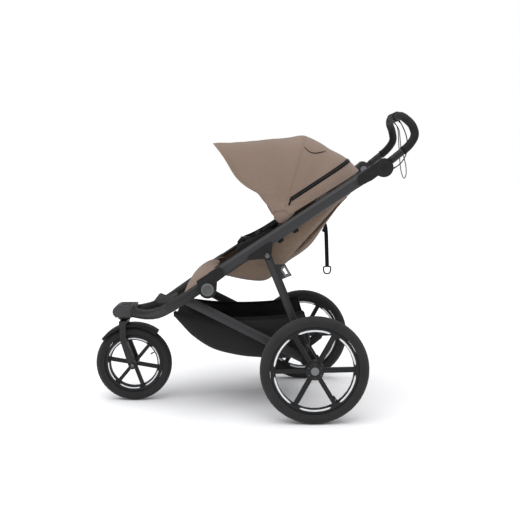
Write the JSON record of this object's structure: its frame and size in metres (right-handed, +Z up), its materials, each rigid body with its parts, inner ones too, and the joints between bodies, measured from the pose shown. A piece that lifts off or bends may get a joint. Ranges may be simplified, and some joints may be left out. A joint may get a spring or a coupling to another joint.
{
  "type": "jogging stroller",
  "caption": "Three-wheeled jogging stroller with a reclining sling seat, folding hood, tilting hand-brake handlebar, swivelling front wheel, storage basket and a four-bar fold.",
  "frame": {"origin": "on the floor, at the middle of the stroller's length and width", "axes": "+Z up; the front wheel points along -Y and the handlebar along +Y; the rider's left side is +X"},
  "size_m": [0.6738, 1.2604, 1.151],
  "materials": {
    "frame_paint": "satin black powder coat",
    "moulding": "fine grain moulding",
    "soft_rubber": "soft matte grip",
    "tyre_rubber": "matte tread rubber",
    "rim_metal": "satin black",
    "steel": "plated",
    "hood_fabric": "woven polyester",
    "seat_fabric": "woven polyester",
    "basket_fabric": "coated canvas",
    "webbing": "woven webbing"
  },
  "bodies": {
    "front_frame": {"front_tube_left": "frame_paint", "front_tube_right": "frame_paint", "head_block": "moulding", "footrest": "soft_rubber", "legrest": "seat_fabric"},
    "upper_frame": {"upper_tube_left": "frame_paint", "upper_tube_right": "frame_paint", "fold_hub_left": "moulding", "fold_hub_right": "moulding", "leg_bracket_left": "moulding", "leg_bracket_right": "moulding", "handle_hub_left": "moulding", "handle_hub_right": "moulding", "fold_axle": "rim_metal", "seat_base": "seat_fabric", "canopy_rear_panel": "hood_fabric", "crotch_strap": "webbing", "harness_buckle": "moulding"},
    "rear_legs": {"rear_leg_left": "frame_paint", "rear_leg_right": "frame_paint", "strut_boot_left": "soft_rubber", "strut_boot_right": "soft_rubber"},
    "lower_chassis": {"brace_left": "frame_paint", "brace_right": "frame_paint", "axle_carrier_left": "moulding", "axle_carrier_right": "moulding", "rear_axle": "steel", "basket": "basket_fabric"},
    "rear_wheel_left": {"rear_tyre_left": "tyre_rubber", "rear_rim_left": "rim_metal"},
    "rear_wheel_right": {"rear_tyre_right": "tyre_rubber", "rear_rim_right": "rim_metal"},
    "wheel_button_left": {"wheel_button_left": "steel"},
    "wheel_button_right": {"wheel_button_right": "steel"},
    "brake_pedal": {"brake_pedal": "moulding"},
    "swivel_lock": {"swivel_lock_ring": "moulding"},
    "fork": {"fork": "frame_paint", "fender": "moulding", "front_axle": "steel"},
    "front_wheel": {"front_tyre": "tyre_rubber", "front_rim": "rim_metal"},
    "handlebar": {"handlebar_core": "frame_paint", "handle_grip_left": "soft_rubber", "handle_grip_right": "soft_rubber", "brake_cable": "soft_rubber", "wrist_strap": "webbing"},
    "twist_brake": {"twist_grip": "soft_rubber"},
    "handle_button_left": {"handle_button_left": "moulding"},
    "handle_button_right": {"handle_button_right": "moulding"},
    "canopy_front": {"canopy_front_bow": "frame_paint", "canopy_front_panel": "hood_fabric"},
    "canopy_mid": {"canopy_mid_bow": "frame_paint"},
    "seat_back": {"seat_back": "seat_fabric", "shoulder_strap_left": "webbing", "shoulder_strap_right": "webbing", "recline_strap": "webbing", "d_ring": "steel"},
    "buckle_button": {"buckle_button": "steel"}
  },
  "joints": [
    {"name": "fold", "type": "hinge", "parent": "front_frame", "child": "upper_frame", "pos_m": [0, -0.153, 0.489], "axis": [-1, 0, 0], "range_deg": [0, 110], "deforming": ["basket", "legrest"]},
    {"name": "brace_swing", "type": "hinge", "parent": "front_frame", "child": "lower_chassis", "pos_m": [0, -0.238, 0.443], "axis": [-1, 0, 0], "range_deg": [0, 90]},
    {"name": "leg_swing", "type": "hinge", "parent": "upper_frame", "child": "rear_legs", "pos_m": [0, 0.066, 0.613], "axis": [1, 0, 0], "range_deg": [0, 42]},
    {"name": "handlebar_tilt", "type": "hinge", "parent": "upper_frame", "child": "handlebar", "pos_m": [0, 0.487, 0.933], "axis": [1, 0, 0], "range_deg": [-60, 35]},
    {"name": "twist_brake_turn", "type": "hinge", "parent": "handlebar", "child": "twist_brake", "pos_m": [0, 0.572, 1.132], "axis": [-1, 0, 0], "range_deg": [0, 60], "stiffness_Nm_per_rad": 0.5, "springref_deg": -5.73},
    {"name": "handle_button_left_press", "type": "slide", "parent": "handlebar", "child": "handle_button_left", "axis": [1, 0, 0], "range_m": [0, 0.003], "stiffness_N_per_m": 600, "springref_m": -0.001},
    {"name": "handle_button_right_press", "type": "slide", "parent": "handlebar", "child": "handle_button_right", "axis": [-1, 0, 0], "range_m": [0, 0.003], "stiffness_N_per_m": 600, "springref_m": -0.001},
    {"name": "canopy_fold", "type": "hinge", "parent": "upper_frame", "child": "canopy_front", "pos_m": [0, 0.117, 0.745], "axis": [-1, 0, 0], "range_deg": [0, 60], "deforming": ["canopy_front_panel", "canopy_rear_panel"]},
    {"name": "canopy_mid_fold", "type": "hinge", "parent": "upper_frame", "child": "canopy_mid", "pos_m": [0, 0.117, 0.745], "axis": [-1, 0, 0], "range_deg": [0, 30]},
    {"name": "seat_recline", "type": "hinge", "parent": "upper_frame", "child": "seat_back", "pos_m": [0, 0.105, 0.575], "axis": [-1, 0, 0], "range_deg": [-12, 22], "deforming": ["shoulder_strap_left", "shoulder_strap_right", "recline_strap", "d_ring"]},
    {"name": "buckle_button_press", "type": "slide", "parent": "upper_frame", "child": "buckle_button", "axis": [0, 0, -1], "range_m": [0, 0.003], "stiffness_N_per_m": 600, "springref_m": -0.001},
    {"name": "brake_pedal_press", "type": "hinge", "parent": "lower_chassis", "child": "brake_pedal", "pos_m": [0, 0.237, 0.2], "axis": [-1, 0, 0], "range_deg": [0, 25]},
    {"name": "rear_wheel_left_spin", "type": "hinge", "parent": "lower_chassis", "child": "rear_wheel_left", "pos_m": [0.315, 0.237, 0.2], "axis": [1, 0, 0], "continuous": true},
    {"name": "rear_wheel_right_spin", "type": "hinge", "parent": "lower_chassis", "child": "rear_wheel_right", "pos_m": [-0.315, 0.237, 0.2], "axis": [1, 0, 0], "continuous": true},
    {"name": "wheel_button_left_press", "type": "slide", "parent": "rear_wheel_left", "child": "wheel_button_left", "axis": [-1, 0, 0], "range_m": [0, 0.0025], "stiffness_N_per_m": 800, "springref_m": -0.001},
    {"name": "wheel_button_right_press", "type": "slide", "parent": "rear_wheel_right", "child": "wheel_button_right", "axis": [1, 0, 0], "range_m": [0, 0.0025], "stiffness_N_per_m": 800, "springref_m": -0.001},
    {"name": "swivel_lock_turn", "type": "hinge", "parent": "front_frame", "child": "swivel_lock", "pos_m": [0, -0.502, 0.34], "axis": [0, 0, 1], "range_deg": [0, 90]},
    {"name": "fork_swivel", "type": "hinge", "parent": "front_frame", "child": "fork", "pos_m": [0, -0.502, 0.34], "axis": [0, 0, 1], "continuous": true},
    {"name": "front_wheel_spin", "type": "hinge", "parent": "fork", "child": "front_wheel", "pos_m": [0, -0.466, 0.1525], "axis": [1, 0, 0], "continuous": true}
  ],
  "couplings": [
    {"joint": "brace_swing", "follows": "fold", "ratio": 0.787},
    {"joint": "leg_swing", "follows": "fold", "ratio": 0.3644},
    {"joint": "canopy_mid_fold", "follows": "canopy_fold", "ratio": 0.5}
  ]
}
